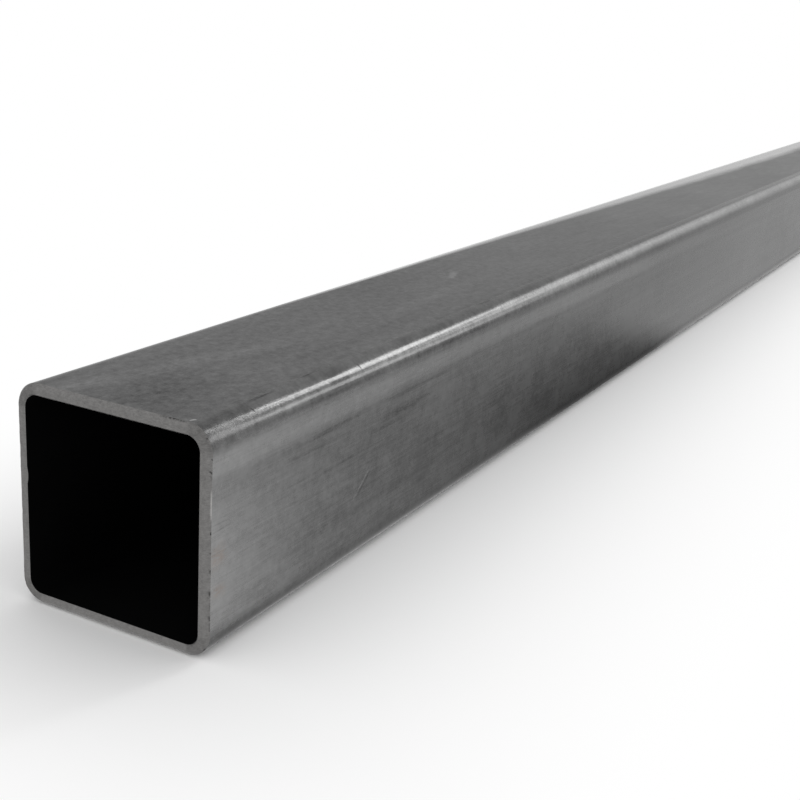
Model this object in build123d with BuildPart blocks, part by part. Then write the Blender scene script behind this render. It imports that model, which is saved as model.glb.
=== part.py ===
# Square hollow section: one straight length of welded mild steel tube with both ends sawn square.
# It lies on one of its four flat sides. Its length runs along X, its width along Y, and Z is up.
# The origin is the middle of the side that it lies on. All sizes are in millimetres.
import os

from build123d import *

# Formed section
side = 40.0  # across the flats, outside
wall = 2.0
inner_bend_radius = 2.5

# Stock length
length = 1000.0

# Weld bead, rolled low inside the back wall and planed flush outside
bead_width = 3.0
bead_height = 0.2
bead_rise = 3.4  # from the middle of the wall up to the middle of the bead

# Edge break round the outside of each sawn end
edge_break = 0.8

# The strip keeps its thickness through each bend, so the outside radius follows from the inside one
outer_bend_radius = inner_bend_radius + wall
bore = side - 2 * wall

os.makedirs("parts", exist_ok=True)

# The near end's plane looks along the tube: its first direction is the width and its second the height
near_end = Plane(origin=(-length / 2, 0, side / 2), x_dir=(0, 1, 0), z_dir=(1, 0, 0))

with BuildPart() as square_tube:
    with BuildSketch(near_end):
        RectangleRounded(side, side, outer_bend_radius)
        RectangleRounded(bore, bore, inner_bend_radius, mode=Mode.SUBTRACT)
        # The bead is rooted halfway into the back wall and swells out of its inner face
        root = bore / 2 + wall / 2
        toe = bore / 2
        crest = toe - bead_height
        bead_low = bead_rise - bead_width / 2
        bead_high = bead_rise + bead_width / 2
        with BuildLine():
            Polyline((toe, bead_high), (root, bead_high), (root, bead_low), (toe, bead_low))
            ThreePointArc((toe, bead_low), (crest, bead_rise), (toe, bead_high))
        make_face()
    extrude(amount=length)
    sawn_faces = square_tube.faces().filter_by(Axis.X)
    outer_edges = [edge for face in sawn_faces for edge in face.outer_wire().edges()]
    chamfer(outer_edges, edge_break)

square_tube.part.label = "square_tube"
export_step(square_tube.part, "parts/square_tube.step")

section_area = square_tube.part.volume / length
print(f"square tube {side:g} x {side:g} x {wall:g}, {length:g} long, section {section_area:.1f} mm2")
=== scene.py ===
import math

import bmesh
import bpy
from mathutils import Matrix, Vector, noise


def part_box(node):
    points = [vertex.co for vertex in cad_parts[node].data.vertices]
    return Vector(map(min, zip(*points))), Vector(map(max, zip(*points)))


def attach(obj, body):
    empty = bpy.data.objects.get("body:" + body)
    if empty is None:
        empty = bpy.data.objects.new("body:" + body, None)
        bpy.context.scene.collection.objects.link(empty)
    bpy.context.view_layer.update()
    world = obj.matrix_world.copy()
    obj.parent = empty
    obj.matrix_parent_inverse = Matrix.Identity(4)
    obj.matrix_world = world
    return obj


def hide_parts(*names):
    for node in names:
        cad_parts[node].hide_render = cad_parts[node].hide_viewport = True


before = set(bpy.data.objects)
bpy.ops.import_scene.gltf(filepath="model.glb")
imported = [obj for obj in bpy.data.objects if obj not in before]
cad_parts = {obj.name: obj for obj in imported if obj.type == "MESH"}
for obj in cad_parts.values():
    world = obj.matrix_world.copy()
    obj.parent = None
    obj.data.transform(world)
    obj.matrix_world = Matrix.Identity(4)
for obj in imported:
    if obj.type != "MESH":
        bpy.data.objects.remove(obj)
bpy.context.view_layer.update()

# A sawn length of square steel tube. Sizes are in metres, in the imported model's own frame:
# the tube runs along X from its near sawn end, -Y is its front, and it lies on the floor at Z 0.
cadLow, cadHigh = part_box("square_tube")
side = cadHigh.z - cadLow.z
length = cadHigh.x - cadLow.x
nearX = cadLow.x
print("frame loaded")


# The tube's mesh
tube = {
    "wall": 0.002,
    "innerBend": 0.0025,
    "edgeBreak": 0.0008,  # outer edge of each sawn end
    "boreBreak": 0.0002,
    "flatSteps": 16,
    "bendSteps": 14,
    "beadSteps": 8,
    "edgeSplit": 4,  # how much finer the mesh is beside the saw cuts
    "ringGap": 0.005,
    "boreGap": 0.1,
    "sharpAngle": 32,
    "beadRise": 0.0034,
    "beadWidth": 0.003,
    "beadHeight": 0.0002,
    "beadUneven": 0.18,
    "beadClear": 0.0001,  # no other station lies this close to the bead
    "breakCurve": 1.3,
    "hollow": 0.00003,  # how far the flats sink between the bends
    "wave": 0.00003,
    "burr": 0.00006,
    "burrDepth": 0.0016,
    "burrPitch": 900,
    "burrLeast": 0.25,
    "nickPitch": 2600,
    "nickShare": 0.6,
}
bend = tube["innerBend"] + tube["wall"]
flatHalf = side / 2 - bend
flatRun = 2 * flatHalf
quarterRun = flatRun + bend * math.pi / 2
# how far from each end the rings lie: finer ones of the skin, coarser ones, and the same for the bore
cutDepths = (0.0, 0.0002, 0.0005, 0.0008, 0.0011, 0.0015, 0.002, 0.0026)
skinDepths = (0.0034, 0.0044, 0.0058, 0.0078, 0.0102, 0.0136, 0.0176)
boreDepths = (0.0, 0.0002, 0.0006, 0.0014)
boreFarDepths = (0.003, 0.006, 0.012, 0.02, 0.035, 0.055, 0.08, 0.11, 0.15, 0.2, 0.26, 0.33, 0.41)


def sectionStations(split):
    # one wall after another, top, front, underside, back, each with the bend that follows it
    # a station is (quarter, run, base point, outward direction, distance across from the wall's middle)
    stations = []
    for quarter in range(4):
        turn = math.radians(90 * quarter)
        out = Vector((-math.sin(turn), math.cos(turn)))
        along = Vector((-math.cos(turn), -math.sin(turn)))
        spots = [flatHalf * (2 * i / tube["flatSteps"] - 1) for i in range(tube["flatSteps"])]
        if quarter == 3:
            low = tube["beadRise"] - tube["beadWidth"] / 2
            high = low + tube["beadWidth"]
            step = tube["beadWidth"] / tube["beadSteps"]
            gap = tube["beadClear"]
            clear = [spot for spot in spots if not low - gap < spot < high + gap]
            spots = sorted(clear + [low + step * i for i in range(tube["beadSteps"] + 1)])
        spots.append(flatHalf)
        for low, high in zip(spots, spots[1:]):
            for part in range(split):
                across = low + (high - low) * part / split
                base = out * flatHalf + along * across
                run = quarter * quarterRun + across + flatHalf
                stations.append((quarter, run, base, out.copy(), across))
        corner = (out + along) * flatHalf
        for step in range(tube["bendSteps"] * split):
            angle = math.pi / 2 * step / (tube["bendSteps"] * split)
            way = out * math.cos(angle) + along * math.sin(angle)
            run = quarter * quarterRun + flatRun + bend * angle
            stations.append((quarter, run, corner, way, flatHalf + bend * angle))
    return stations


coarse = sectionStations(1)
fine = sectionStations(tube["edgeSplit"])


def skinSink(x, station):
    # the cold-formed skin lies a few hundredths of a millimetre under the true section
    across = station[4]
    hollow = tube["hollow"] * max(0.0, 1 - (across / flatHalf) ** 2)
    ripple = noise.noise(Vector((x * 28, station[2].x * 90, station[2].y * 90)))
    return hollow + tube["wave"] * (0.5 + 0.5 * ripple) * max(0.0, 1 - abs(across / flatHalf) ** 3)


def beadStand(x, station):
    if station[0] != 3:
        return 0.0
    offset = (station[4] - tube["beadRise"]) / (tube["beadWidth"] / 2)
    if abs(offset) >= 1:
        return 0.0
    uneven = 1 + tube["beadUneven"] * noise.noise(Vector((x * 45, 3.1, 0.4)))
    return tube["beadHeight"] * (1 - offset * offset) * min(1.0, uneven)


def place(x, station, reach):
    point = station[2] + station[3] * reach
    return Vector((x, point.x, point.y + side / 2))


def edgeJitter(endSign, station, pitch, shift):
    # uneven round the saw cut, and different at the two ends
    spot = station[2] + station[3] * bend
    return noise.noise(Vector((spot.x * pitch, spot.y * pitch, shift + 5 * endSign)))


def skinRing(x, stations, endSign, depth):
    ring = []
    for station in stations:
        reach = bend - skinSink(x, station)
        along = 0.0
        if depth is not None and depth < tube["edgeBreak"]:
            share = 1 - depth / tube["edgeBreak"]
            reach -= tube["edgeBreak"] * share ** tube["breakCurve"]
        if depth is not None and 0 < depth < tube["burrDepth"]:
            # small nicks and a ragged lip where the saw broke through
            nicks = tube["nickShare"] * edgeJitter(endSign, station, tube["nickPitch"], 7.7)
            ragged = edgeJitter(endSign, station, tube["burrPitch"], 0.3) + nicks
            fade = 1 - depth / tube["burrDepth"]
            along = endSign * tube["burr"] * ragged * fade
            reach -= tube["burr"] * max(0.0, ragged - tube["burrLeast"]) * fade
        ring.append(place(x + along, station, reach))
    return ring


def boreRing(x, stations, depth):
    ring = []
    for station in stations:
        reach = tube["innerBend"] - beadStand(x, station)
        if depth is not None and depth < tube["boreBreak"]:
            reach += tube["boreBreak"] - depth
        ring.append(place(x, station, reach))
    return ring


def endRings(depths, farDepths, gap):
    # distances from the near end, with the finer rings at both ends
    spots = [(d, 1, d) for d in depths] + [(d, 0, d) for d in farDepths]
    start = farDepths[-1]
    steps = 2 * math.ceil((length / 2 - start) / gap)
    step = (length - 2 * start) / steps
    middle = [(start + step * i, 0, None) for i in range(1, steps)]
    back = [(length - d, isFine, d) for d, isFine, _ in reversed(spots)]
    return spots + middle + back


# Bake map: each outer wall lies in two half-length strips, the bore in four long ones after them,
# and the two saw cuts come last, side by side.
sheet = {"margin": 0.005, "skinScale": 1.98, "boreScale": 0.99, "cutScale": 4.2}
skinStrip = quarterRun * sheet["skinScale"] + sheet["margin"]
boreTop = 8 * skinStrip + sheet["margin"]
boreStrip = quarterRun * sheet["boreScale"] + sheet["margin"]
cutTop = boreTop + 4 * boreStrip + sheet["margin"]


def skinSheet(x, run, quarter, point, isFarHalf):
    u = sheet["margin"] + (x - (length / 2 if isFarHalf else 0)) * sheet["skinScale"]
    stripLow = sheet["margin"] + (2 * quarter + isFarHalf) * skinStrip
    return u, stripLow + (run - quarter * quarterRun) * sheet["skinScale"]


def boreSheet(x, run, quarter, point, isFarHalf):
    u = sheet["margin"] + x * sheet["boreScale"]
    return u, boreTop + quarter * boreStrip + (run - quarter * quarterRun) * sheet["boreScale"]


def cutSheet(x, run, quarter, point, isFarHalf):
    u = sheet["margin"] + (point.y + side / 2) * sheet["cutScale"]
    if isFarHalf:
        u += side * sheet["cutScale"] + 2 * sheet["margin"]
    return u, cutTop + point.z * sheet["cutScale"]


def buildTube():
    bm = bmesh.new()
    runMap = bm.loops.layers.uv.new("skinRun")
    bakeMap = bm.loops.layers.uv.new("OFBake")
    fullRun = 4 * quarterRun

    def addFace(corners, slot):
        # a corner is (vertex, run map place, bake map place)
        face = bm.faces.new([c[0] for c in corners])
        face.material_index = slot
        face.smooth = True
        for loop, corner in zip(face.loops, corners):
            loop[runMap].uv = corner[1]
            loop[bakeMap].uv = corner[2]

    def joinRings(lower, upper, bakePlace, slot):
        # lower and upper are (x, stations, vertices); a finer ring meets a coarser one in six-sided faces
        isFarHalf = (lower[0] + upper[0]) / 2 > length / 2
        few, many = sorted((lower, upper), key=lambda ring: len(ring[1]))
        split = len(many[1]) // len(few[1])
        count = len(few[1])
        for i in range(count):
            quarter = few[1][i][0]

            def corner(ring, index):
                total = len(ring[1])
                run = fullRun if index == total else ring[1][index][1]
                vertex = ring[2][index % total]
                return vertex, (ring[0], run), bakePlace(ring[0], run, quarter, vertex.co, isFarHalf)

            fewSide = [corner(few, i), corner(few, i + 1)]
            manySide = [corner(many, j) for j in range((i + 1) * split, i * split - 1, -1)]
            addFace(fewSide + manySide, slot)

    # the rings of the skin and of the bore, from the near end to the far one
    skinRings = []
    for x, isFine, depth in endRings(cutDepths, skinDepths, tube["ringGap"]):
        stations = fine if isFine else coarse
        points = skinRing(nearX + x, stations, 1 if x < length / 2 else -1, depth)
        skinRings.append((x, stations, [bm.verts.new(p) for p in points]))
    boreRings = []
    for x, isFine, depth in endRings(boreDepths, boreFarDepths, tube["boreGap"]):
        stations = fine if isFine else coarse
        boreRings.append((x, stations, [bm.verts.new(p) for p in boreRing(nearX + x, stations, depth)]))

    breakRings = sum(d < tube["edgeBreak"] for d in cutDepths)
    last = len(skinRings) - 1
    for i, (lower, upper) in enumerate(zip(skinRings, skinRings[1:])):
        isCut = i < breakRings or i >= last - breakRings
        joinRings(lower, upper, cutSheet if isCut else skinSheet, 1 if isCut else 0)
    for i, (lower, upper) in enumerate(zip(boreRings, boreRings[1:])):
        isCut = i < 1 or i >= len(boreRings) - 2
        joinRings(lower, upper, cutSheet if isCut else boreSheet, 1 if isCut else 2)
    # the two saw cuts, each from the skin in to the bore
    for skinEnd, boreEnd in ((skinRings[0], boreRings[0]), (skinRings[-1], boreRings[-1])):
        rings = [skinEnd]
        for share in (1 / 3, 2 / 3):
            points = [a.co.lerp(b.co, share) for a, b in zip(skinEnd[2], boreEnd[2])]
            rings.append((skinEnd[0], fine, [bm.verts.new(p) for p in points]))
        rings.append(boreEnd)
        for lower, upper in zip(rings, rings[1:]):
            joinRings(lower, upper, cutSheet, 1)

    bmesh.ops.recalc_face_normals(bm, faces=bm.faces)
    mesh = bpy.data.meshes.new("steel_tube")
    bm.to_mesh(mesh)
    bm.free()
    mesh.set_sharp_from_angle(angle=math.radians(tube["sharpAngle"]))
    steelTube = bpy.data.objects.new("steel_tube", mesh)
    bpy.context.scene.collection.objects.link(steelTube)
    return steelTube


steelTube = buildTube()
print("tube mesh built:", len(steelTube.data.polygons), "faces")


def link(tree, source, socket):
    if isinstance(source, bpy.types.NodeSocket):
        tree.links.new(source, socket)
    else:
        socket.default_value = source


def calc(tree, operation, first, second=0.0, third=0.0, clamp=False):
    node = tree.nodes.new("ShaderNodeMath")
    node.operation = operation
    node.use_clamp = clamp
    link(tree, first, node.inputs[0])
    link(tree, second, node.inputs[1])
    link(tree, third, node.inputs[2])
    return node.outputs[0]


def times(tree, *sources):
    total = sources[0]
    for source in sources[1:]:
        total = calc(tree, "MULTIPLY", total, source)
    return total


def addTo(tree, total, source, amount):
    return calc(tree, "MULTIPLY_ADD", source, amount, total)


def ramp(tree, value, low, high, toLow=0.0, toHigh=1.0):
    node = tree.nodes.new("ShaderNodeMapRange")
    node.interpolation_type = "SMOOTHSTEP"
    for socket, source in zip(node.inputs, (value, low, high, toLow, toHigh)):
        link(tree, source, socket)
    return node.outputs["Result"]


def window(tree, value, low, high, soft):
    rise = ramp(tree, value, low - soft, low + soft)
    return times(tree, rise, ramp(tree, value, high - soft, high + soft, 1.0, 0.0))


def mixColor(tree, factor, first, second):
    node = tree.nodes.new("ShaderNodeMix")
    node.data_type = "RGBA"
    link(tree, factor, node.inputs["Factor"])
    link(tree, first, node.inputs[6])
    link(tree, second, node.inputs[7])
    return node.outputs[2]


def stretch(tree, vector, scale):
    node = tree.nodes.new("ShaderNodeVectorMath")
    node.operation = "MULTIPLY"
    link(tree, vector, node.inputs[0])
    link(tree, scale, node.inputs[1])
    return node.outputs[0]


def grains(tree, vector, detail=2.0, rough=0.5):
    node = tree.nodes.new("ShaderNodeTexNoise")
    link(tree, vector, node.inputs["Vector"])
    node.inputs["Scale"].default_value = 1.0
    node.inputs["Detail"].default_value = detail
    node.inputs["Roughness"].default_value = rough
    return node.outputs["Fac"]


def shade(tree, color, factor):
    node = tree.nodes.new("ShaderNodeVectorMath")
    node.operation = "SCALE"
    link(tree, color, node.inputs[0])
    link(tree, factor, node.inputs["Scale"])
    return node.outputs[0]


def grey(level, warmth=0.0):
    return (level * (1 + warmth), level, level * (1 - warmth), 1.0)


number, arrow = "NodeSocketFloat", "NodeSocketVector"


def newGroup(name, inputs, output):
    group = bpy.data.node_groups.new(name, "ShaderNodeTree")
    for label, kind in inputs.items():
        group.interface.new_socket(name=label, in_out="INPUT", socket_type=kind)
    group.interface.new_socket(name=output, in_out="OUTPUT", socket_type=number)
    entry = group.nodes.new("NodeGroupInput")
    leave = group.nodes.new("NodeGroupOutput")
    return group, entry.outputs, leave.inputs[output]


def useGroup(tree, group, **values):
    node = tree.nodes.new("ShaderNodeGroup")
    node.node_tree = group
    for label, source in values.items():
        link(tree, source, node.inputs[label])
    return node.outputs[0]


def makeMottle(name, detail, rough):
    # clouds about Patch across, from -0.5 to 0.5
    group, entry, leave = newGroup(name, {"Place": arrow, "Patch": number}, "Value")
    spread = shade(group, entry["Place"], calc(group, "DIVIDE", 1.0, entry["Patch"]))
    link(group, calc(group, "SUBTRACT", grains(group, spread, detail, rough), 0.5), leave)
    return group


def makeRollStreak():
    # streaks along the tube, left by the forming rolls, from -0.5 to 0.5
    inputs = {"Place": arrow, "Long": number, "Wide": number}
    group, entry, leave = newGroup("rollStreak", inputs, "Value")
    scale = group.nodes.new("ShaderNodeCombineXYZ")
    link(group, calc(group, "DIVIDE", 1.0, entry["Long"]), scale.inputs[0])
    across = calc(group, "DIVIDE", 1.0, entry["Wide"])
    link(group, across, scale.inputs[1])
    link(group, across, scale.inputs[2])
    streak = grains(group, stretch(group, entry["Place"], scale.outputs[0]), 2.0, 0.5)
    link(group, calc(group, "SUBTRACT", streak, 0.5), leave)
    return group


def makePlacedMark():
    # one straight mark centred at Along, Round on the skin, fading out to its ends and edges
    inputs = {"Run": arrow, "Along": number, "Round": number, "Angle": number,
              "Long": number, "Wide": number, "Worn": number}
    group, entry, leave = newGroup("placedMark", inputs, "Mask")
    centre = group.nodes.new("ShaderNodeCombineXYZ")
    link(group, entry["Along"], centre.inputs[0])
    link(group, entry["Round"], centre.inputs[1])
    turn = group.nodes.new("ShaderNodeVectorRotate")
    turn.rotation_type = "Z_AXIS"
    link(group, entry["Run"], turn.inputs["Vector"])
    link(group, centre.outputs[0], turn.inputs["Center"])
    link(group, entry["Angle"], turn.inputs["Angle"])
    offset = group.nodes.new("ShaderNodeVectorMath")
    offset.operation = "SUBTRACT"
    link(group, turn.outputs[0], offset.inputs[0])
    link(group, centre.outputs[0], offset.inputs[1])
    parts = group.nodes.new("ShaderNodeSeparateXYZ")
    link(group, offset.outputs[0], parts.inputs[0])
    halfLong = calc(group, "MULTIPLY", entry["Long"], 0.5)
    halfWide = calc(group, "MULTIPLY", entry["Wide"], 0.5)
    far = calc(group, "ABSOLUTE", calc(group, "DIVIDE", parts.outputs[0], halfLong))
    out = calc(group, "ABSOLUTE", calc(group, "DIVIDE", parts.outputs[1], halfWide))
    mask = times(group, ramp(group, far, 0.2, 1.0, 1.0, 0.0), ramp(group, out, 0.1, 1.0, 1.0, 0.0))
    # worn through in places, so that no mark is one clean stroke
    worn = grains(group, stretch(group, entry["Run"], (700, 2600, 0)), 2.0, 0.6)
    worn = ramp(group, worn, 0.36, 0.58, calc(group, "SUBTRACT", 1.0, entry["Worn"]), 1.0)
    link(group, times(group, mask, worn), leave)
    return group


softMottle = makeMottle("softMottle", 3.0, 0.55)
fineMottle = makeMottle("fineMottle", 5.0, 0.88)
rollStreak = makeRollStreak()
placedMark = makePlacedMark()


def newMaterial(name):
    material = bpy.data.materials.new(name)
    material.use_nodes = True
    tree = material.node_tree
    shader = tree.nodes["Principled BSDF"]
    return material, tree, shader


def bumpInto(tree, shader, height, distance, strength=1.0):
    node = tree.nodes.new("ShaderNodeBump")
    node.inputs["Distance"].default_value = distance
    node.inputs["Strength"].default_value = strength
    link(tree, height, node.inputs["Height"])
    link(tree, node.outputs["Normal"], shader.inputs["Normal"])


def runPlace(tree):
    node = tree.nodes.new("ShaderNodeUVMap")
    node.uv_map = "skinRun"
    return node.outputs["UV"]


def solidPlace(tree):
    return tree.nodes.new("ShaderNodeTexCoord").outputs["Object"]


def splitRun(tree, run):
    parts = tree.nodes.new("ShaderNodeSeparateXYZ")
    link(tree, run, parts.inputs[0])
    return parts.outputs[0], parts.outputs[1]


# Mill finish of the outer skin. along is the distance from the near end, and around is the distance
# round the unrolled section: the top wall, the front bend, the front wall, the underside, the back wall.
frontTop = quarterRun  # where the front wall's flat begins, under its bend
seamRun = 3 * quarterRun + flatHalf + tube["beadRise"]
millSteel = {
    "level": 0.118,
    "tint": 0.66,
    "rough": 0.36,
    "frontRough": 0.28,
    "bendRough": 0.17,
    "frontSoft": 0.0014,
    "topSoft": 0.001,
    "bendTrim": 0.0004,
    "bendSoft": 0.0008,
    # how strong the clouds, the grain and the streaks are
    "clouds": 0.45,
    "mottle": 1.4,
    "topMottle": 0.3,  # further mottling of the top wall
    "grit": 1.2,
    "topGrit": 1.3,
    "smoky": 0.45,
    "streaks": 0.45,
    "hairs": 0.7,
    "streakShare": 0.25,  # what is left of the streaks away from the front wall
    "mottleRough": 0.35,
    "hairRough": 0.12,
    "hairBump": 0.3,
    "pitBump": 0.9,
    "bumpHeight": 0.00002,
    # how large they are, and how those of the top wall are drawn out along the tube
    "cloudSize": 0.06,
    "mottleSize": 0.014,
    "drawnSize": 0.009,
    "smokySize": 0.011,
    "gritSize": 0.002,
    "pitSize": 0.0005,
    "streakSize": {"Long": 0.07, "Wide": 0.0022},
    "hairSize": {"Long": 0.012, "Wide": 0.0004},
    "drawnScale": (0.3, 1.0, 1.0),
    "smokyScale": (0.35, 1.0, 1.0),
    "crispReach": (0.1, 0.34),  # grit and hairs soften over this stretch
    "crispFar": 0.4,
    # painted light: the front wall is a lighter grey than the top, and more so farther along
    "frontPaintedLight": 0.36,
    "farPaintedLight": 0.3,
    "paintedLightReach": (0.14, 0.4),
    # darker stretches: from, to, softness; one of the top wall, and painted shade on the upper part of its
    # front bend
    "topDarker": (0.07, 0.25, 0.04),
    "topDarkerChange": -0.06,
    "bendTop": (flatRun - 0.0006, flatRun + 0.002, 0.0008),
    "bendPaintedShade": (0.12, 0.28, 0.05),
    "bendPaintedShadeChange": -0.12,
    # lighter skin beside the saw cut
    "endLight": 1.0,
    "endReach": 0.06,
    "endFall": 2.4,
    "endMiddle": (frontTop + 0.009, frontTop + 0.029, 0.007),
    "endShare": 0.4,  # what is left of it above and below the middle
    # painted reflection: a lighter band just under the front bend
    "reflectionBand": (frontTop + 0.0002, frontTop + 0.004, 0.001),
    "reflectionBandFade": (0.16, 0.34),
    "reflectionBandLight": 0.5,
    # scuffs of the front bend, then of all four at the near end and farther along
    "scuff": (flatRun + 0.001, flatRun + 0.0036, 0.0005),
    "scuffFade": (0.008, 0.018),
    "scuffChange": -0.3,
    "bendScuffFade": (0.002, 0.02),
    "bendScuffRough": 0.08,
    "bendFarReach": (0.08, 0.2),
    "bendFarRough": 0.04,
    "rawFade": (0.012, 0.05),  # and their pitting
    "rawFar": 0.15,
    # weld line of the back wall
    "seamHalf": 0.003,
    "seamSoft": 0.0004,
    "heatedSpread": 2.2,
    "heatedSoft": 0.002,
    "chatter": (1700, 60, 0),
    "planedLight": 0.55,
    "heatedDark": -0.22,
    "heatedClouds": (-0.1, 0.1),
    "heatedColor": (0.105, 0.108, 0.125, 1.0),
    "rustColor": (0.27, 0.17, 0.11, 1.0),
    "rustMix": 0.24,
    "rustWorn": 0.9,
    "marksWorn": 0.6,
    # thin film along the back edge of the top wall
    "filmReach": (0.05, 0.56),
    "filmWidth": 0.0110,
    "filmRagged": 0.9,
    "filmSoft": 0.5,
    "filmLeastSoft": 0.0006,
    "filmWeight": 0.84,
    "filmStart": (0.06, 0.12),
    "filmLap": (4 * quarterRun - 0.003, 4 * quarterRun - 0.0015),
    "filmFade": (0.45, length),
    "filmEnd": 0.5,
    "filmRough": 0.2,
}
# handling marks, and painted highlights, reflections and shade of the front bend: the middle's place along
# and around, angle in degrees, length, width, change of tone
marks = {
    "obliqueScratch": (0.0482, frontTop + 0.0194, -39, 0.0120, 0.0006, 0.8),
    "scratchShade": (0.0488, frontTop + 0.0198, -39, 0.0090, 0.0006, -0.5),
    "rollSmear": (0.0645, frontTop + 0.0085, 0, 0.028, 0.0026, -0.5),
    "rollSmearLow": (0.0560, frontTop + 0.0102, 1, 0.020, 0.0012, -0.3),
    "rollLine": (0.0400, frontTop + 0.0129, 0, 0.024, 0.0009, -0.45),
    "upperLine": (0.0340, frontTop + 0.0054, -1, 0.044, 0.0015, -0.35),
    "upperLineFar": (0.0700, frontTop + 0.0052, 0, 0.040, 0.0013, -0.35),
    "shortLine": (0.0270, frontTop + 0.0075, 0, 0.016, 0.0011, -0.35),
    "cutLineA": (0.0032, frontTop + 0.0120, 1, 0.007, 0.0004, -0.6),
    "cutLineB": (0.0036, frontTop + 0.0131, -2, 0.008, 0.0004, -0.5),
    "bendNickA": (0.0180, flatRun + 0.0010, 0, 0.012, 0.0009, -0.6),
    "bendNickB": (0.0343, flatRun + 0.0004, -4, 0.007, 0.0008, -0.6),
    "bendNickC": (0.1070, flatRun + 0.0006, 0, 0.010, 0.0011, -0.6),
    "crossNickA": (0.0474, flatRun + 0.0033, 72, 0.0018, 0.0007, -0.8),
    "crossNickB": (0.0139, flatRun + 0.0030, 60, 0.0016, 0.0006, -0.7),
    # painted shade: a dark line under the front bend's highlight
    "underBendShade": (0.0870, flatRun + 0.0060, 0, 0.070, 0.0014, -0.3),
    "underBendNearShade": (0.0350, flatRun + 0.0061, 0, 0.060, 0.0013, -0.35),
    "topSpot": (0.1280, 0.0131, -20, 0.014, 0.0026, 0.9),
    # painted highlight: a glint at the saw cut's front corner
    "burrGlint": (0.0018, flatRun - 0.0001, 20, 0.0016, 0.0008, 3.0),
    "topLight": (0.0240, 0.0105, 13, 0.085, 0.0085, 0.3),
    "cornerScuff": (0.0060, 0.0060, 12, 0.020, 0.0060, 0.22),
    # painted highlight: a second light line on the front bend beside the saw cut
    "bendPaintedHighlight": (0.0070, flatRun + 0.0043, 0, 0.018, 0.0009, 0.35),
    "bandScratchA": (0.0338, frontTop + 0.0032, -62, 0.0032, 0.0003, 0.5),
    "bandScratchB": (0.0353, frontTop + 0.0026, -68, 0.0026, 0.0003, 0.4),
    "bandScratchC": (0.0328, frontTop + 0.0037, -55, 0.0030, 0.0003, -0.3),
    "topLightFar": (0.1050, 0.0200, -2, 0.090, 0.0060, 0.2),
    "topShade": (0.0090, 0.0190, 0, 0.040, 0.0240, -0.22),
    "topShadeFar": (0.0700, 0.0260, 0, 0.070, 0.0060, -0.15),
    "sidePale": (0.0300, frontTop + 0.0165, 0, 0.050, 0.0060, 0.18),
    # painted reflection: a lighter band at the foot of the front bend
    "bendPaintedReflection": (0.0300, frontTop - 0.0004, 0, 0.100, 0.0030, 0.22),
    "sideSmear": (0.0450, frontTop + 0.0245, 0, 0.060, 0.0030, -0.15),
}
# faint rust tints beside the saw cut
rustSpots = {
    "nearRust": {"Along": 0.0026, "Round": frontTop + 0.0176, "Angle": 0.3, "Long": 0.0060, "Wide": 0.0060},
    "lowRust": {"Along": 0.0030, "Round": frontTop + 0.0238, "Angle": -0.2, "Long": 0.0050, "Wide": 0.0036},
}


def bendMask(tree, around):
    # 1 on the four bends, fading just before the flats begin
    within = calc(tree, "MODULO", around, quarterRun)
    trim = millSteel["bendTrim"]
    return window(tree, within, flatRun + trim, quarterRun - trim, millSteel["bendSoft"])


def seamMask(tree, around, half, soft):
    return window(tree, around, seamRun - half, seamRun + half, soft)


def addMarks(tree, tone, run, places, worn):
    for along, around, angle, long, wide, change in places.values():
        mask = useGroup(tree, placedMark, Run=run, Along=along, Round=around,
                        Angle=math.radians(-angle), Long=long, Wide=wide, Worn=worn)
        tone = addTo(tree, tone, mask, change)
    return tone


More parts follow.
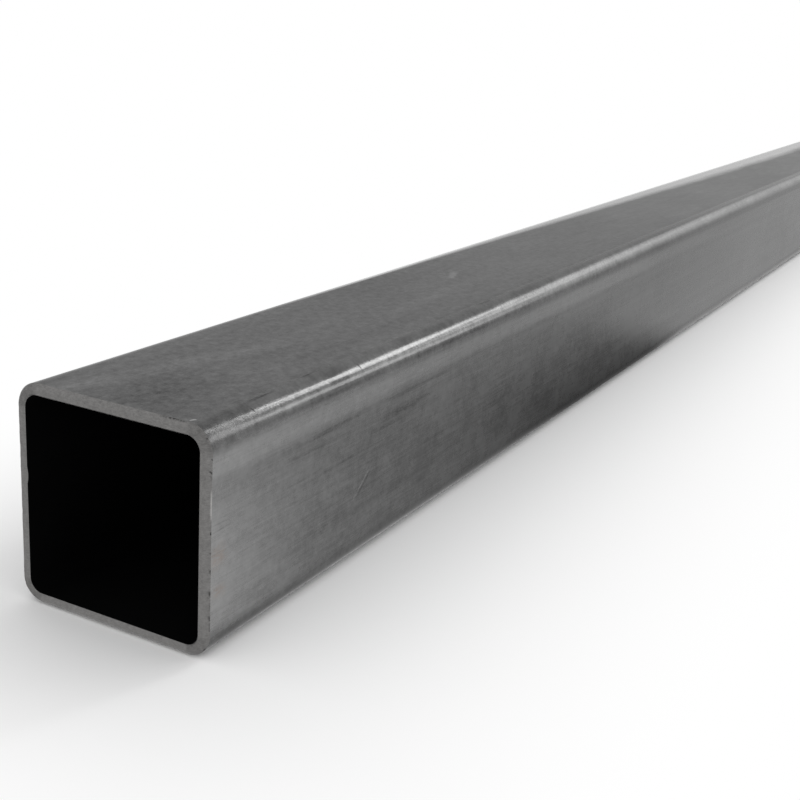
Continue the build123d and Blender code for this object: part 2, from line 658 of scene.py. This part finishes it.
def makeMillSteel():
    material, tree, shader = newMaterial("millSteel")
    run, place3d = runPlace(tree), solidPlace(tree)
    along, around = splitRun(tree, run)
    onBend = bendMask(tree, around)
    frontWall = window(tree, around, frontTop, frontTop + flatRun, millSteel["frontSoft"])
    topWall = ramp(tree, around, flatRun, flatRun + millSteel["topSoft"], 1.0, 0.0)
    crisp = ramp(tree, along, *millSteel["crispReach"], 1.0, millSteel["crispFar"])
    cloud = useGroup(tree, softMottle, Place=place3d, Patch=millSteel["cloudSize"])
    mottle = useGroup(tree, fineMottle, Place=place3d, Patch=millSteel["mottleSize"])
    grit = useGroup(tree, fineMottle, Place=place3d, Patch=millSteel["gritSize"])
    pitting = useGroup(tree, softMottle, Place=place3d, Patch=millSteel["pitSize"])
    streak = useGroup(tree, rollStreak, Place=place3d, **millSteel["streakSize"])
    hair = useGroup(tree, rollStreak, Place=place3d, **millSteel["hairSize"])
    # on the top wall the mottling is drawn out along the tube, with smoky patches over it
    drawnPlace = stretch(tree, place3d, millSteel["drawnScale"])
    drawnOut = useGroup(tree, fineMottle, Place=drawnPlace, Patch=millSteel["drawnSize"])
    mottle = addTo(tree, mottle, topWall, calc(tree, "SUBTRACT", drawnOut, mottle))
    smokyPlace = stretch(tree, place3d, millSteel["smokyScale"])
    smoky = useGroup(tree, softMottle, Place=smokyPlace, Patch=millSteel["smokySize"])

    mottled = calc(tree, "MULTIPLY_ADD", topWall, millSteel["topMottle"], millSteel["mottle"])
    gritty = calc(tree, "MULTIPLY_ADD", topWall, millSteel["topGrit"], millSteel["grit"])
    share = millSteel["streakShare"]
    brushed = calc(tree, "MULTIPLY_ADD", frontWall, 1 - share, share)
    tone = addTo(tree, 1.0, cloud, millSteel["clouds"])
    tone = addTo(tree, tone, mottle, mottled)
    tone = addTo(tree, tone, times(tree, grit, gritty, crisp), 1.0)
    tone = addTo(tree, tone, times(tree, smoky, topWall), millSteel["smoky"])
    tone = addTo(tree, tone, times(tree, streak, brushed), millSteel["streaks"])
    tone = addTo(tree, tone, times(tree, hair, brushed, crisp), millSteel["hairs"])
    # painted light: the front wall lighter than the top, and lighter still farther along
    farPaintedLight = millSteel["frontPaintedLight"] + millSteel["farPaintedLight"]
    paintedLift = ramp(tree, along, *millSteel["paintedLightReach"], millSteel["frontPaintedLight"], farPaintedLight)
    tone = addTo(tree, tone, times(tree, paintedLift, frontWall), 1.0)

    # the top wall has a darker stretch, and the upper part of its front bend a stretch of painted shade
    topDarker = times(tree, topWall, window(tree, along, *millSteel["topDarker"]))
    tone = addTo(tree, tone, topDarker, millSteel["topDarkerChange"])
    bendTop = window(tree, around, *millSteel["bendTop"])
    bendPaintedShade = times(tree, bendTop, window(tree, along, *millSteel["bendPaintedShade"]))
    tone = addTo(tree, tone, bendPaintedShade, millSteel["bendPaintedShadeChange"])
    # lighter beside the saw cut, most of all across the middle of the front wall
    fromEnd = calc(tree, "DIVIDE", along, millSteel["endReach"])
    nearEnd = calc(tree, "SUBTRACT", 1.0, fromEnd, clamp=True)
    nearEnd = calc(tree, "POWER", nearEnd, millSteel["endFall"])
    middle = window(tree, around, *millSteel["endMiddle"])
    share = millSteel["endShare"]
    endLight = times(tree, nearEnd, calc(tree, "MULTIPLY_ADD", middle, 1 - share, share), frontWall)
    tone = addTo(tree, tone, endLight, millSteel["endLight"])
    # painted reflection: a lighter band just under the front bend, fading along the tube
    reflectionBand = window(tree, around, *millSteel["reflectionBand"])
    reflectionBand = times(tree, reflectionBand, ramp(tree, along, *millSteel["reflectionBandFade"], 1.0, 0.0))
    tone = addTo(tree, tone, reflectionBand, millSteel["reflectionBandLight"])
    tone = addMarks(tree, tone, run, marks, millSteel["marksWorn"])
    scuffed = window(tree, around, *millSteel["scuff"])
    scuffed = times(tree, scuffed, ramp(tree, along, *millSteel["scuffFade"], 1.0, 0.0))
    tone = addTo(tree, tone, scuffed, millSteel["scuffChange"])
    # weld line of the back wall: a planed light strip with fine chatter and darker, heated edges
    planed = seamMask(tree, around, millSteel["seamHalf"], millSteel["seamSoft"])
    heatedHalf = millSteel["heatedSpread"] * millSteel["seamHalf"]
    heated = seamMask(tree, around, heatedHalf, millSteel["heatedSoft"])
    heated = calc(tree, "SUBTRACT", heated, planed, clamp=True)
    chatter = grains(tree, stretch(tree, run, millSteel["chatter"]), 1.0, 0.4)
    tone = addTo(tree, tone, times(tree, planed, chatter), millSteel["planedLight"])
    tone = addTo(tree, tone, heated, millSteel["heatedDark"])

    steel = shade(tree, grey(millSteel["level"])[:3], tone)
    blued = times(tree, heated, ramp(tree, cloud, *millSteel["heatedClouds"]))
    steel = mixColor(tree, blued, steel, millSteel["heatedColor"])
    rustWorn = millSteel["rustWorn"]
    rusts = [useGroup(tree, placedMark, Run=run, Worn=rustWorn, **spot) for spot in rustSpots.values()]
    rust = times(tree, calc(tree, "ADD", *rusts, clamp=True), millSteel["rustMix"])
    steel = mixColor(tree, rust, steel, millSteel["rustColor"])
    link(tree, steel, shader.inputs["Base Color"])
    shader.inputs["Metallic"].default_value = 1.0
    tint = millSteel["tint"]
    shader.inputs["Specular Tint"].default_value = (tint, tint, tint, 1.0)

    rough = millSteel["rough"]
    frontMore = millSteel["frontRough"] - rough
    bendMore = millSteel["bendRough"] - rough
    rough = calc(tree, "MULTIPLY_ADD", onBend, bendMore, rough)
    rough = addTo(tree, rough, frontWall, frontMore)
    rough = addTo(tree, rough, mottle, millSteel["mottleRough"])
    rough = addTo(tree, rough, times(tree, hair, crisp), millSteel["hairRough"])
    # the bends are scuffed dull for their first millimetres, and a little duller farther along
    bendScuff = times(tree, onBend, ramp(tree, along, *millSteel["bendScuffFade"], 1.0, 0.0))
    rough = addTo(tree, rough, bendScuff, millSteel["bendScuffRough"])
    bendFar = times(tree, onBend, ramp(tree, along, *millSteel["bendFarReach"]))
    rough = addTo(tree, rough, bendFar, millSteel["bendFarRough"])
    link(tree, rough, shader.inputs["Roughness"])

    # the film widens away from the near end, laps over the back bend and then fades
    filmEdge = ramp(tree, along, *millSteel["filmReach"], 0.0, millSteel["filmWidth"])
    filmEdge = addTo(tree, filmEdge, mottle, times(tree, filmEdge, millSteel["filmRagged"]))
    filmSoft = calc(tree, "MULTIPLY_ADD", filmEdge, millSteel["filmSoft"], millSteel["filmLeastSoft"])
    film = calc(tree, "DIVIDE", calc(tree, "SUBTRACT", filmEdge, around), filmSoft, clamp=True)
    film = calc(tree, "MULTIPLY", film, millSteel["filmWeight"])
    lap = times(tree, ramp(tree, around, *millSteel["filmLap"]), ramp(tree, along, *millSteel["filmStart"]))
    film = calc(tree, "MAXIMUM", film, lap)
    film = times(tree, film, ramp(tree, along, *millSteel["filmFade"], 1.0, millSteel["filmEnd"]))
    link(tree, film, shader.inputs["Coat Weight"])
    shader.inputs["Coat Roughness"].default_value = millSteel["filmRough"]

    rawEnd = times(tree, ramp(tree, along, *millSteel["rawFade"], 1.0, millSteel["rawFar"]), onBend)
    height = addTo(tree, mottle, times(tree, hair, crisp), millSteel["hairBump"])
    height = addTo(tree, height, times(tree, pitting, rawEnd), millSteel["pitBump"])
    bumpInto(tree, shader, height, millSteel["bumpHeight"])
    return material


# Saw cut: fine ragged grain, with dark specks and nicks on the broken outer edge, and a painted highlight
# along one stretch of it
sawnSteel = {
    "level": 0.182,
    "warmth": 0.018,
    "tint": 0.7,
    "rough": 0.42,
    "kerf": (400, 1500, 4200),
    "grain": 0.9,
    "grainSize": 0.0014,
    "cornerDark": 0.18,
    "edge": (0.0003, 0.0007),  # where the broken edge begins, along the tube
    "speckSize": 0.0011,
    "speckLeast": 0.12,
    "speckMost": 0.2,
    "speckDark": 0.75,
    "speckStart": (0.6 * flatRun, 0.85 * flatRun),
    "lowFront": (frontTop + 0.017, frontTop + 0.031, 0.003),  # more specks here
    "lowFrontMore": 0.08,
    # painted highlight: the stretch of the broken edge drawn as a bright line
    "lip": (frontTop + 0.0062, frontTop + 0.0105, 0.001),
    "lipEdge": (0.0005, 0.0008),
    "lipHighlight": 1.2,
    "nicksWorn": 0.8,
    "leastTone": 0.1,
    "bumpHeight": 0.00003,
}
# nicks of the broken edge, written as the handling marks are
lipNicks = {
    "upperNickA": (0.0007, frontTop + 0.0029, 50, 0.0013, 0.0004, -0.8),
    "upperNickB": (0.0007, frontTop + 0.0037, 50, 0.0011, 0.0004, -0.7),
    "lowNickA": (0.0007, frontTop + 0.0234, 84, 0.0013, 0.0006, -0.65),
    "lowNickB": (0.0008, frontTop + 0.0254, 92, 0.0026, 0.0005, -0.35),
    "lowNickC": (0.0007, frontTop + 0.0277, 86, 0.0012, 0.0006, -0.5),
    "lowNickD": (0.0008, frontTop + 0.0293, 90, 0.0040, 0.0006, -0.4),
    "topLine": (0.0007, 0.0283, 90, 0.0090, 0.0006, -0.6),
}


def makeSawnSteel():
    material, tree, shader = newMaterial("sawnSteel")
    run, place3d = runPlace(tree), solidPlace(tree)
    along, around = splitRun(tree, run)
    kerf = grains(tree, stretch(tree, place3d, sawnSteel["kerf"]), 3.0, 0.9)
    grain = useGroup(tree, fineMottle, Place=place3d, Patch=sawnSteel["grainSize"])
    tone = addTo(tree, 1.0, calc(tree, "SUBTRACT", kerf, 0.5), 1.0)
    tone = addTo(tree, tone, grain, sawnSteel["grain"])
    tone = addTo(tree, tone, bendMask(tree, around), -sawnSteel["cornerDark"])
    # the outer edge, where the saw broke out
    edge = ramp(tree, along, *sawnSteel["edge"])
    lowFront = window(tree, around, *sawnSteel["lowFront"])
    least = calc(tree, "MULTIPLY_ADD", lowFront, -sawnSteel["lowFrontMore"], sawnSteel["speckLeast"])
    specks = useGroup(tree, softMottle, Place=place3d, Patch=sawnSteel["speckSize"])
    specks = ramp(tree, specks, least, sawnSteel["speckMost"])
    specked = ramp(tree, around, *sawnSteel["speckStart"])
    tone = addTo(tree, tone, times(tree, edge, specks, specked), -sawnSteel["speckDark"])
    # painted highlight: a bright line along the broken edge
    lip = window(tree, around, *sawnSteel["lip"])
    lipEdge = ramp(tree, along, *sawnSteel["lipEdge"])
    tone = addTo(tree, tone, times(tree, lipEdge, lip), sawnSteel["lipHighlight"])
    tone = addMarks(tree, tone, run, lipNicks, sawnSteel["nicksWorn"])
    tone = calc(tree, "MAXIMUM", tone, sawnSteel["leastTone"])
    level = grey(sawnSteel["level"], sawnSteel["warmth"])[:3]
    link(tree, shade(tree, level, tone), shader.inputs["Base Color"])
    shader.inputs["Metallic"].default_value = 1.0
    tint = sawnSteel["tint"]
    shader.inputs["Specular Tint"].default_value = (tint, tint, tint, 1.0)
    shader.inputs["Roughness"].default_value = sawnSteel["rough"]
    bumpInto(tree, shader, addTo(tree, kerf, grain, 1.0), sawnSteel["bumpHeight"])
    return material


# Dark scale inside the bore, made near black: partly its own colour, partly painted shade
boreScale = {
    # near black: dark scale with painted shade over it
    "level": 0.002,
    "warmth": -0.05,
    "clouds": 0.8,
    "cloudSize": 0.008,
    "specular": 0.03,
    "rough": 0.9,
    "bumpHeight": 0.00008,
}


def makeBoreScaleAndShade():
    material, tree, shader = newMaterial("boreScale")
    cloud = useGroup(tree, softMottle, Place=solidPlace(tree), Patch=boreScale["cloudSize"])
    tone = calc(tree, "MULTIPLY_ADD", cloud, boreScale["clouds"], 1.0)
    level = grey(boreScale["level"], boreScale["warmth"])[:3]
    link(tree, shade(tree, level, tone), shader.inputs["Base Color"])
    shader.inputs["Metallic"].default_value = 0.0
    shader.inputs["Specular IOR Level"].default_value = boreScale["specular"]
    shader.inputs["Roughness"].default_value = boreScale["rough"]
    bumpInto(tree, shader, cloud, boreScale["bumpHeight"])
    return material


for material in (makeMillSteel(), makeSawnSteel(), makeBoreScaleAndShade()):
    steelTube.data.materials.append(material)
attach(steelTube, "root")
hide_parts("square_tube")
print("materials made")


# Floor and world
stage = {
    "floorHalf": 30.0,
    "floorColor": 0.95,
    "fillLight": 0.93,
    "shadowStart": 0.01,  # to the eye, the floor turns plain white between these distances
    "shadowReach": 0.075,
    # painted shade on the floor, seen only in the metal: the stretch from the near end that looks darker
    # there
    "mirrorShadeStart": 0.02,
    "mirrorShadeFull": 0.165,
    "mirrorShadeEnd": 0.262,
    "mirrorShadeSoft": 0.03,
    "mirrorShadeReach": 0.06,
    "mirrorShadeDark": 0.78,
    # and painted shadow on the floor close under the tube's lower bends, seen only in the metal
    "contactReach": 0.009,
    "contactDark": 0.4,
    "underReach": 0.003,
    "underDark": 0.85,
    "contactEnd": 0.006,
}


def whiteRays(tree):
    rays = tree.nodes.new("ShaderNodeLightPath").outputs
    mirror = calc(tree, "ADD", rays["Is Glossy Ray"], rays["Is Transmission Ray"], clamp=True)
    return rays["Is Camera Ray"], mirror


def makeFloor():
    mesh = bpy.data.meshes.new("floor")
    half = stage["floorHalf"]
    corners = [(-half, -half, 0), (half, -half, 0), (half, half, 0), (-half, half, 0)]
    mesh.from_pydata(corners, [], [(0, 1, 2, 3)])
    floor = bpy.data.objects.new("floor", mesh)
    bpy.context.scene.collection.objects.link(floor)
    material = bpy.data.materials.new("paleFloor")
    material.use_nodes = True
    tree = material.node_tree
    tree.nodes.clear()
    leave = tree.nodes.new("ShaderNodeOutputMaterial")
    diffuse = tree.nodes.new("ShaderNodeBsdfDiffuse")
    diffuse.inputs["Color"].default_value = grey(stage["floorColor"])
    parts = tree.nodes.new("ShaderNodeSeparateXYZ")
    link(tree, solidPlace(tree), parts.inputs[0])
    fromMiddle = calc(tree, "ABSOLUTE", parts.outputs[0])
    fromAxis = calc(tree, "ABSOLUTE", parts.outputs[1])

    # away is the distance from the tube's footprint
    squares = []
    for distance, edge in ((fromMiddle, length / 2), (fromAxis, side / 2)):
        past = calc(tree, "MAXIMUM", calc(tree, "SUBTRACT", distance, edge), 0.0)
        squares.append(calc(tree, "POWER", past, 2.0))
    away = calc(tree, "SQRT", calc(tree, "ADD", *squares))
    isCamera, isMirror = whiteRays(tree)
    # past the tube's shadow the floor is plain white to the eye, and so it is in the metal
    pastShadow = ramp(tree, away, stage["shadowStart"], stage["shadowReach"])
    isWhite = calc(tree, "ADD", times(tree, pastShadow, isCamera), isMirror, clamp=True)

    # painted shade on the floor in front of the tube, seen only in the metal
    fromEnd = calc(tree, "SUBTRACT", parts.outputs[0], nearX)
    mirrorShade = calc(tree, "SUBTRACT", fromEnd, stage["mirrorShadeStart"])
    mirrorShade = calc(tree, "DIVIDE", mirrorShade, stage["mirrorShadeFull"] - stage["mirrorShadeStart"], clamp=True)
    lastLow, lastHigh = stage["mirrorShadeEnd"] - stage["mirrorShadeSoft"], stage["mirrorShadeEnd"] + stage["mirrorShadeSoft"]
    mirrorShade = times(tree, mirrorShade, ramp(tree, fromEnd, lastLow, lastHigh, 1.0, 0.0))
    dark = times(tree, mirrorShade, ramp(tree, away, 0.0, stage["mirrorShadeReach"], stage["mirrorShadeDark"], 0.0))
    # painted shadow close under the lower bends, seen only in the metal
    pastTouch = calc(tree, "SUBTRACT", fromAxis, flatHalf)
    contact = ramp(tree, pastTouch, 0.0, stage["contactReach"], stage["contactDark"], 0.0)
    under = ramp(tree, pastTouch, 0.0, stage["underReach"], stage["underDark"], 0.0)
    contact = calc(tree, "MAXIMUM", contact, under)
    beforeEnd = ramp(tree, fromMiddle, length / 2 - stage["contactEnd"], length / 2, 1.0, 0.0)
    contact = times(tree, contact, beforeEnd)
    dark = times(tree, calc(tree, "MAXIMUM", dark, contact), isMirror)

    glow = tree.nodes.new("ShaderNodeEmission")
    link(tree, calc(tree, "SUBTRACT", 1.0, dark), glow.inputs["Strength"])
    mix = tree.nodes.new("ShaderNodeMixShader")
    link(tree, isWhite, mix.inputs[0])
    link(tree, diffuse.outputs[0], mix.inputs[1])
    link(tree, glow.outputs[0], mix.inputs[2])
    link(tree, mix.outputs[0], leave.inputs["Surface"])
    mesh.materials.append(material)


def makeWorld():
    world = bpy.data.worlds.new("studio")
    bpy.context.scene.world = world
    world.use_nodes = True
    tree = world.node_tree
    tree.nodes.clear()
    leave = tree.nodes.new("ShaderNodeOutputWorld")
    sky = tree.nodes.new("ShaderNodeBackground")
    sky.inputs["Color"].default_value = grey(1.0)
    isCamera, isMirror = whiteRays(tree)
    isWhite = calc(tree, "ADD", isCamera, isMirror, clamp=True)
    strength = calc(tree, "MULTIPLY_ADD", isWhite, 1.0 - stage["fillLight"], stage["fillLight"])
    link(tree, strength, sky.inputs["Strength"])
    link(tree, sky.outputs[0], leave.inputs["Surface"])


makeFloor()
makeWorld()


# Strip lamps above the tube's front and beyond its far end. start and end are the plan places of the
# two ends of the strip's middle line.
stripLamps = {
    "nearStrip": {"start": (0.3, -0.3), "end": (0.75, -0.385), "height": 0.8, "width": 0.09, "glow": 7.6},
    "midStrip": {"start": (0.75, -0.405), "end": (1.3, -0.585), "height": 0.8, "width": 0.3, "glow": 5.6},
    "farStrip": {"start": (1.3, -0.52), "end": (2.0, -0.66), "height": 0.8, "width": 0.66, "glow": 1.8},
    "farthestStrip": {"start": (2, -0.68), "end": (2.6, -0.85), "height": 0.8, "width": 0.74, "glow": 1.6},
    "lowStrip": {"start": (0.35, -0.79), "end": (1.4, -1.07), "height": 0.5, "width": 0.24, "glow": 2.1},
    "lowerStrip": {"start": (0.5, -0.58), "end": (1.9, -1.1), "height": 0.27, "width": 0.12, "glow": 1.6},
    "endPanel": {"start": (2.75, -1.8), "end": (2.75, -0.58), "height": 0.85, "width": 0.7, "glow": 1.0},
    "endInner": {"start": (2.75, -0.58), "end": (2.75, -0.05), "height": 0.7, "width": 0.4, "glow": 0.62},
    "endUpper": {"start": (2.75, -0.58), "end": (2.75, -0.05), "height": 1.05, "width": 0.3, "glow": 1.22},
    "endPatch": {"start": (2.7, -1.15), "end": (2.7, -0.66), "height": 0.58, "width": 0.55, "glow": 0.4},
    "endLow": {"start": (2.75, -1.8), "end": (2.75, -0.05), "height": 0.3, "width": 0.4, "glow": 0.25},
}


def makeStrip(name, strip):
    start, end = (Vector((x, y, strip["height"])) for x, y in (strip["start"], strip["end"]))
    lamp = bpy.data.lights.new(name, "AREA")
    lamp.shape = "RECTANGLE"
    lamp.size = (end - start).length
    lamp.size_y = strip["width"]
    lamp.energy = strip["glow"] * math.pi * lamp.size * lamp.size_y
    lampObject = bpy.data.objects.new(name, lamp)
    bpy.context.scene.collection.objects.link(lampObject)
    # the strip faces the near end of the tube
    along = (end - start).normalized()
    towardTube = Vector((nearX, 0, side / 2)) - start
    away = -(towardTube - along * towardTube.dot(along)).normalized()
    turn = Matrix((along, away.cross(along), away)).transposed().to_4x4()
    lampObject.matrix_world = Matrix.Translation((start + end) / 2) @ turn
    lampObject.visible_camera = False


for name, strip in stripLamps.items():
    makeStrip(name, strip)
print("floor, world and lamps made")


# Camera, fitted to the photograph's edges
cameraSet = {
    "beforeEnd": 0.14564,  # in front of the near sawn end
    "frontOff": 0.12797,
    "height": 0.10375,
    "yaw": 27.5352,
    "pitch": -17.7165,
    "roll": -3.6473,
    "lens": 56.46,
    "sensor": 36.0,
    "clipStart": 0.005,
}


def makeCamera():
    data = bpy.data.cameras.new("camera")
    data.lens = cameraSet["lens"]
    data.sensor_width = cameraSet["sensor"]
    data.clip_start = cameraSet["clipStart"]
    camera = bpy.data.objects.new("camera", data)
    bpy.context.scene.collection.objects.link(camera)
    spot = Matrix.Translation((nearX - cameraSet["beforeEnd"], -cameraSet["frontOff"], cameraSet["height"]))
    yaw = Matrix.Rotation(math.radians(cameraSet["yaw"] - 90), 4, "Z")
    pitch = Matrix.Rotation(math.radians(cameraSet["pitch"] + 90), 4, "X")
    roll = Matrix.Rotation(math.radians(-cameraSet["roll"]), 4, "Z")
    camera.matrix_world = spot @ yaw @ pitch @ roll
    bpy.context.scene.camera = camera


makeCamera()
bpy.context.scene.view_settings.view_transform = "Standard"
print("camera set")
